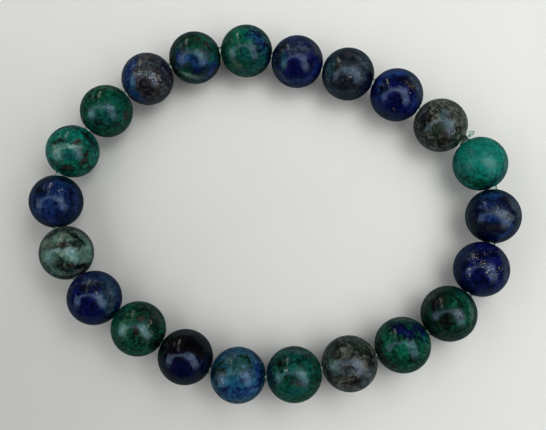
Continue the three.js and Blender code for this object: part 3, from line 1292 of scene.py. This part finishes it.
def stone_material(name, number, centre, scene, groups):
    """Polished stone: a mottled ground mineral with ragged patches of others and bright flecks,
    under a thin and uneven coat of wax."""
    material, tree, output = new_material(f"stone_{name}")
    draw = np.random.default_rng(FIRST_SEED + number)
    seed = tuple(float(value) for value in draw.uniform(-SEED_REACH, SEED_REACH, 3))
    radius = scene.bracelet_sizes.bead_diameter / 2
    base = stone_base(tree, centre, radius, seed, groups)
    face = bead_face(centre, scene.bracelet_stage)
    colours = scene.bracelet_colours
    colour, rough = stone_colour(tree, name, face, base, draw, groups, colours)
    grain = base["grain"]
    relief = placed(tree, groups["relief"], **base["places"], Grain=grain)["Height"]
    uneven = maths(tree, "SUBTRACT", grain, 0.5)
    rough = maths(tree, "ADD", maths(tree, "MULTIPLY", uneven, POLISH_SPREAD), rough)
    bump = {"Strength": RELIEF_STRENGTH, "Distance": RELIEF, "Height": relief}
    waxed = STONES[name][2]
    stone = {
        "Base Color": colour,
        "Roughness": rough,
        "IOR": STONE_IOR,
        "Normal": add(tree, "ShaderNodeBump", bump).outputs[0],
        "Coat Weight": between(tree, grain, *(share * waxed for share in WAX)),
        "Coat Roughness": WAX_ROUGHNESS,
    }
    surfaced(tree, output, stone)
    return material


def elastic_material():
    """Clear elastic cord: see-through, a little green in its depth, and faintly cloudy."""
    material, tree, output = new_material("clear_elastic")
    spot = add(tree, "ShaderNodeTexCoord").outputs["Object"]
    cloud = noise(tree, spot, *ELASTIC_CLOUD).outputs[0]
    rough = between(tree, cloud, *ELASTIC_ROUGHNESS)
    bump = add(tree, "ShaderNodeBump", {"Height": cloud, **ELASTIC_RELIEF}).outputs[0]
    clear = {
        "Base Color": ELASTIC_TINT,
        "Roughness": rough,
        "IOR": ELASTIC_IOR,
        "Transmission Weight": 1.0,
        "Normal": bump,
    }
    surfaced(tree, output, clear)
    depth = add(tree, "ShaderNodeVolumeAbsorption", ELASTIC_DEPTH)
    tree.links.new(depth.outputs[0], output.inputs["Volume"])
    return material


def floor_material(colour):
    """Plain matt floor, with a trace of unevenness in its tone. Polished stone sees it darker:
    painted shade that darkens the floor's reflection in the beads.
    """
    material, tree, output = new_material("pale_floor")
    spot = add(tree, "ShaderNodeTexCoord").outputs["Object"]
    cloud = noise(tree, spot, *FLOOR_CLOUD).outputs[0]
    tones = ((*(min(value * share, 1) for value in colour), 1) for share in FLOOR_TONES)
    tone = blended(tree, cloud, *tones)
    # Painted shade: polished stone sees the floor at about a tenth of its colour.
    dimmer = (value * share for value, share in zip(colour, FLOOR_SHADE_IN_GLOSS))
    tone = blended(tree, in_mirrors(tree), tone, (*dimmer, 1))
    matt = {"Base Color": tone, "Roughness": 0.8, "Specular IOR Level": 0.1}
    surfaced(tree, output, matt)
    return material


# Building


def stage_light(name, outward, lengthwise, spans, glow, distance, mirrored):
    """A soft rectangular light that faces the bracelet from the outward direction. Its spans are
    its angles lengthwise and crosswise. A mirrored light shows in polished surfaces alone, and
    casts no shadow; the others light matt surfaces alone."""
    data = bpy.data.lights.new(name, "AREA")
    data.shape = "RECTANGLE"
    data.size, data.size_y = (2 * distance * math.tan(span / 2) for span in spans)
    strongest = max(glow)
    data.color = [value / strongest for value in glow]
    data.energy = strongest * math.pi * data.size * data.size_y
    data.use_shadow = not mirrored
    light = bpy.data.objects.new(name, data)
    axes = np.array((lengthwise, np.cross(outward, lengthwise), outward)).T
    light.matrix_world = Matrix.Translation(outward * distance) @ Matrix(axes.tolist()).to_4x4()
    light.visible_camera = False
    light.visible_glossy = mirrored
    light.visible_diffuse = light.visible_transmission = not mirrored
    bpy.context.scene.collection.objects.link(light)


def mirror_direction(face, right, up):
    """Where a ball's polished surface mirrors from at a spot of its face: the view's direction
    turned over about the surface's normal."""
    normal = np.array((right, up, math.sqrt(1 - right**2 - up**2))) @ face
    return 2 * (normal @ face[2]) * normal - face[2]


def angle_between(first, second):
    """The angle between two unit vectors."""
    return math.acos(min(float(first @ second), 1.0))


def mirrored_light(name, facts, stage):
    """The light whose highlight on a middle bead is the given strip."""
    start, end, width, distance, glow = facts
    face = bead_face(np.zeros(3), stage)
    first, last = mirror_direction(face, *start), mirror_direction(face, *end)
    along = unit(np.array(end) - start)
    middle = (np.array(start) + end) / 2
    across = np.array((-along[1], along[0])) * width / 2
    edges = [mirror_direction(face, *(middle + side * across)) for side in (-1, 1)]
    outward = unit(first + last)
    lengthwise = unit(last - first - outward * (outward @ (last - first)))
    spans = (angle_between(first, last), angle_between(*edges))
    stage_light(name, outward, lengthwise, spans, glow, distance, True)


def soft_light(name, facts, stage):
    """A light for matt surfaces, in the direction of its tilt and bearing."""
    tilt, bearing, along, across = (math.radians(angle) for angle in facts[:4])
    level = np.array((math.cos(bearing), math.sin(bearing), 0.0))
    outward = level * math.sin(tilt) + UP * math.cos(tilt)
    lengthwise = level * math.cos(tilt) - UP * math.sin(tilt)
    glow = (facts[4],) * 3
    stage_light(name, outward, lengthwise, (along, across), glow, stage.light_distance, False)


def level_square(name, middle, reach, cells):
    """A level square of small square cells that faces up. Its points run from the reach before
    the middle to the reach behind it, along X and along Y."""
    steps = np.linspace(-reach, reach, cells + 1)
    across, along = np.meshgrid(steps, steps)
    points = np.column_stack((across.ravel(), along.ravel(), np.zeros(across.size))) + middle
    index = np.arange(len(points)).reshape(across.shape)
    corners = (index[:-1, :-1], index[:-1, 1:], index[1:, 1:], index[1:, :-1])
    quads = np.stack([corner.ravel() for corner in corners], axis=1)
    return mesh_object(name, points, [quads], smooth=False)


def camera_shade(stage):
    """The shadow that the camera and its holder cast on the floor: a dark card just above the
    camera, which only takes light away from matt surfaces."""
    middle = np.array(stage.camera_place) + UP * SHADE_RISE
    card = level_square("camera_shade", middle, stage.shade_reach, 1)
    material, tree, output = new_material("dark_card")
    surfaced(tree, output, {"Base Color": (0.01, 0.01, 0.01, 1), "Roughness": 0.9})
    card.data.materials.append(material)
    card.visible_camera = card.visible_glossy = card.visible_transmission = False
    card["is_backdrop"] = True


def lit_room(stage):
    """Even light from all round for matt surfaces and the eye, and a dim room in polished ones."""
    world = bpy.data.worlds.new("soft_room")
    world.use_nodes = True
    world.cycles.sampling_method = "NONE"
    tree = world.node_tree
    tree.nodes.clear()
    camera = add(tree, "ShaderNodeLightPath").outputs["Is Camera Ray"]
    seen = between(tree, camera, stage.sky_strength, BACKDROP)
    strength = between(tree, in_mirrors(tree), seen, stage.sky_in_gloss)
    sky = add(tree, "ShaderNodeBackground", {"Color": SKY_TINT, "Strength": strength})
    output = add(tree, "ShaderNodeOutputWorld")
    tree.links.new(sky.outputs[0], output.inputs["Surface"])
    bpy.context.scene.world = world


class BRACELET_OT_set_stage(bpy.types.Operator):
    """Makes the camera, the room, the lights and the floor"""

    bl_idname = "bracelet.set_stage"
    bl_label = "Set the stage"

    def execute(self, context):
        stage = context.scene.bracelet_stage
        camera = bpy.data.cameras.new("camera_above")
        camera.sensor_fit = "HORIZONTAL"
        camera.sensor_width = 36
        camera.lens = stage.camera_lens
        camera.clip_start = 0.002
        camera.clip_end = 50
        holder = bpy.data.objects.new("camera_above", camera)
        turn = camera_turn(stage).to_4x4()
        holder.matrix_world = Matrix.Translation(stage.camera_place) @ turn
        context.scene.collection.objects.link(holder)
        context.scene.camera = holder
        context.scene.view_settings.view_transform = "Standard"
        lit_room(stage)
        for name, facts in HIGHLIGHTS.items():
            mirrored_light(name, facts, stage)
        for name, facts in SOFT_LIGHTS.items():
            soft_light(name, facts, stage)
        camera_shade(stage)
        floor = level_square("floor", np.zeros(3), stage.floor_reach, FLOOR_CELLS)
        floor.data.materials.append(floor_material(stage.floor_colour))
        floor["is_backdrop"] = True
        return {"FINISHED"}


class BRACELET_OT_make_cord(bpy.types.Operator):
    """Makes the knotted elastic cord that runs through all the beads"""

    bl_idname = "bracelet.make_cord"
    bl_label = "Make the cord"

    def execute(self, context):
        sizes = context.scene.bracelet_sizes
        centres = bead_centres()
        holes = hole_directions(centres)
        meeting = meeting_points(centres, holes)
        route = cord_route(centres, holes, meeting)
        knot_at = (2 * KNOT_AFTER + 1) * ROUTE_STEPS
        points = cord_points(route, knot_at, sizes)
        rows = len(points) // CORD_AROUND
        cord = mesh_object("cord", points, [grid_faces(rows, CORD_AROUND, True)])
        along = unit(centres[KNOT_AFTER + 1] - centres[KNOT_AFTER])
        points, rows = tail_points(meeting[KNOT_AFTER], along, sizes)
        first = np.arange(TAIL_AROUND)[None, :]
        last = first + (rows - 1) * TAIL_AROUND
        sides = grid_faces(rows, TAIL_AROUND, False)
        tail = mesh_object("tail", points, [sides, first[:, ::-1], last])
        cord = joined(cord, tail)
        cord.name = cord.data.name = "knotted_cord"
        cord.data.materials.clear()
        cord.data.materials.append(elastic_material())
        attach(cord, "root")
        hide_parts("elastic_cord")
        return {"FINISHED"}


class BRACELET_OT_make_beads(bpy.types.Operator):
    """Makes the drilled and polished beads, each of its own stone"""

    bl_idname = "bracelet.make_beads"
    bl_label = "Make the beads"

    def execute(self, context):
        scene = context.scene
        sizes = scene.bracelet_sizes
        groups = {
            "edges": wandering_group(),
            "mottling": mottling_group(),
            "patch": patch_group(),
            "flecks": flecks_group(),
            "relief": polish_group(),
        }
        plain = (sizes.mouth_width, sizes.mouth_depth)
        reamed = (sizes.knot_mouth_width, sizes.knot_mouth_depth)
        centres = bead_centres()
        holes = hole_directions(centres)
        for number, name in enumerate(BEADS):
            start = reamed if number == KNOT_AFTER + 1 else plain
            end = reamed if number == KNOT_AFTER else plain
            section = bead_section((start, end), sizes)
            points = bead_points(centres[number], holes[number], section, number, sizes)
            faces = grid_faces(len(section), BEAD_AROUND, True)
            bead = mesh_object(f"stone_{name}", points, [faces])
            material = stone_material(name, number, centres[number], scene, groups)
            bead.data.materials.append(material)
            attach(bead, "root")
            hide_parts(name)
        return {"FINISHED"}


class BRACELET_PT_parts(bpy.types.Panel):
    """Lists the steps that build the bracelet, and its sizes and colours"""

    bl_idname = "BRACELET_PT_parts"
    bl_label = "Bead bracelet"
    bl_space_type = "VIEW_3D"
    bl_region_type = "UI"
    bl_category = "Bracelet"

    def draw(self, context):
        for operator in OPERATORS:
            self.layout.operator(operator.bl_idname)
        for settings in SETTINGS:
            group = getattr(context.scene, settings)
            column = self.layout.box().column()
            for name in group.__annotations__:
                column.prop(group, name)


SETTINGS = {
    "bracelet_sizes": BraceletSizes,
    "bracelet_colours": StoneColours,
    "bracelet_stage": StageSettings,
}
OPERATORS = (BRACELET_OT_set_stage, BRACELET_OT_make_cord, BRACELET_OT_make_beads)
CLASSES = (*SETTINGS.values(), *OPERATORS, BRACELET_PT_parts)


def register():
    for added in CLASSES:
        bpy.utils.register_class(added)
    for name, settings in SETTINGS.items():
        setattr(bpy.types.Scene, name, PointerProperty(type=settings))


def unregister():
    for name in SETTINGS:
        delattr(bpy.types.Scene, name)
    for added in reversed(CLASSES):
        bpy.utils.unregister_class(added)


def main():
    register()
    bpy.ops.bracelet.set_stage()
    bpy.ops.bracelet.make_cord()
    bpy.ops.bracelet.make_beads()
    boxes = {"cad": cad_box, "visual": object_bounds()}
    plain = {name: [list(corner) for corner in box] for name, box in boxes.items()}


if __name__ == "__main__":
    main()
